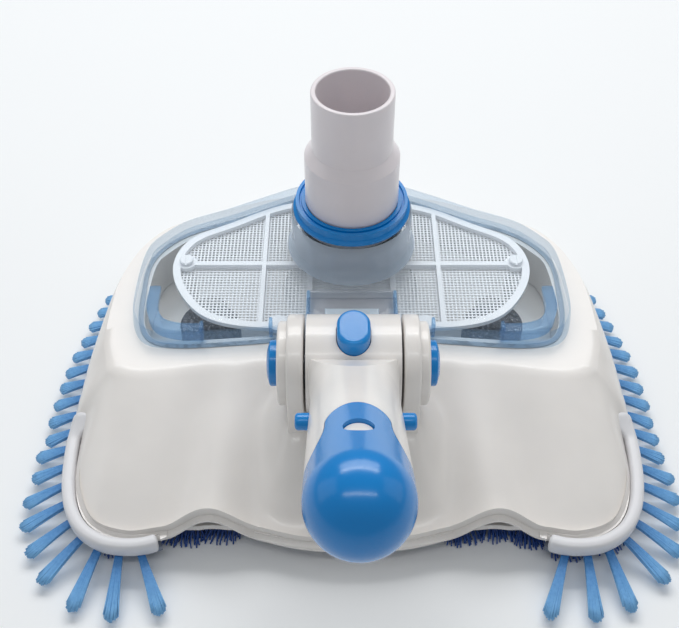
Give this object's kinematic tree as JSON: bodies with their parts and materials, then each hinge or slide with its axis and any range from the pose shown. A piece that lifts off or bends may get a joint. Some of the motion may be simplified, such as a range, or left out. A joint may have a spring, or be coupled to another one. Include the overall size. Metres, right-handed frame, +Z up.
{
  "type": "manual pool vacuum head",
  "caption": "Half-moon pool vacuum head with side brushes, clear cover over a filter, swivelling hose spigot and a tilting snap-in pole handle.",
  "frame": {"origin": "on the floor under the middle of the whole head, brushes and raised handle included", "axes": "+Z up, -Y towards the pole and the front edge, X across the head"},
  "size_m": [0.2552, 0.244, 0.1335],
  "materials": {
    "white_plastic": "gloss white moulded ABS",
    "spigot_plastic": "gloss white moulded PVC with a faint pink cast",
    "blue_plastic": "gloss blue moulded plastic",
    "cap_rubber": "semi-gloss blue soft plastic",
    "clear_plastic": "clear moulded polycarbonate with a blue tint",
    "latch_plastic": "pale translucent plastic",
    "bumper_rubber": "satin light grey soft plastic",
    "bristle": "light blue nylon filaments",
    "dark_bristle": "blue nylon filaments in shade",
    "ballast": "rough dark cast ballast",
    "filter_plastic": "white moulded plastic",
    "filter_net": "white woven net",
    "grey_plastic": "grey moulded plastic",
    "seal_rubber": "black rubber",
    "gasket_silicone": "pale translucent silicone rubber",
    "steel": "stainless steel"
  },
  "bodies": {
    "base": {"upper_shell": "white_plastic", "bottom_plate": "white_plastic", "filter_posts": "white_plastic", "bottom_screws": "steel", "filter_screws": "steel", "bumper_left": "bumper_rubber", "bumper_right": "bumper_rubber", "side_brush_strip_left": "grey_plastic", "side_brush_strip_right": "grey_plastic", "side_tufts_left": "bristle", "side_tufts_right": "bristle", "weight_left": "ballast", "weight_right": "ballast", "bottom_tufts_front": "dark_bristle", "bottom_tufts_rear": "dark_bristle", "filter_frame": "filter_plastic", "filter_mesh": "filter_net", "cover_gasket": "gasket_silicone", "pivot_axle": "steel", "ear_cap_left": "white_plastic", "ear_cap_right": "white_plastic", "axle_cap_left": "blue_plastic", "axle_cap_right": "blue_plastic"},
    "cover": {"clear_cover": "clear_plastic", "retaining_ring": "blue_plastic"},
    "latch": {"cover_latch": "latch_plastic"},
    "swivel": {"hose_spigot": "spigot_plastic", "swivel_seal": "seal_rubber"},
    "handle": {"handle_arm": "white_plastic", "handle_end_cap": "cap_rubber", "hub_bush_left": "grey_plastic", "hub_bush_right": "grey_plastic", "snap_spring": "steel", "button_spring": "steel"},
    "button": {"lock_button": "blue_plastic"},
    "pin_left": {"snap_pin_left": "blue_plastic"},
    "pin_right": {"snap_pin_right": "blue_plastic"}
  },
  "joints": [
    {"name": "handle_tilt", "type": "hinge", "parent": "base", "child": "handle", "pos_m": [0, -0.0023, 0.05], "axis": [-1, 0, 0], "range_deg": [-33, 60]},
    {"name": "cover_hinge", "type": "hinge", "parent": "base", "child": "cover", "pos_m": [0, 0.1199, 0.0327], "axis": [-1, 0, 0], "range_deg": [0, 55]},
    {"name": "hose_swivel", "type": "hinge", "parent": "cover", "child": "swivel", "pos_m": [0, 0.075, 0.05], "axis": [0, 0, 1], "continuous": true},
    {"name": "latch_slide", "type": "slide", "parent": "cover", "child": "latch", "axis": [0, 1, 0], "range_m": [0, 0.003]},
    {"name": "lock_press", "type": "slide", "parent": "handle", "child": "button", "axis": [0, 0.1045, -0.9945], "range_m": [0, 0.003], "stiffness_N_per_m": 250, "springref_m": -0.002, "deforming": ["button_spring"]},
    {"name": "snap_left", "type": "slide", "parent": "handle", "child": "pin_left", "axis": [1, 0, 0], "range_m": [0, 0.0042], "stiffness_N_per_m": 300, "springref_m": -0.002, "deforming": ["snap_spring"]},
    {"name": "snap_right", "type": "slide", "parent": "handle", "child": "pin_right", "axis": [-1, 0, 0], "range_m": [0, 0.0042], "stiffness_N_per_m": 300, "springref_m": -0.002}
  ]
}
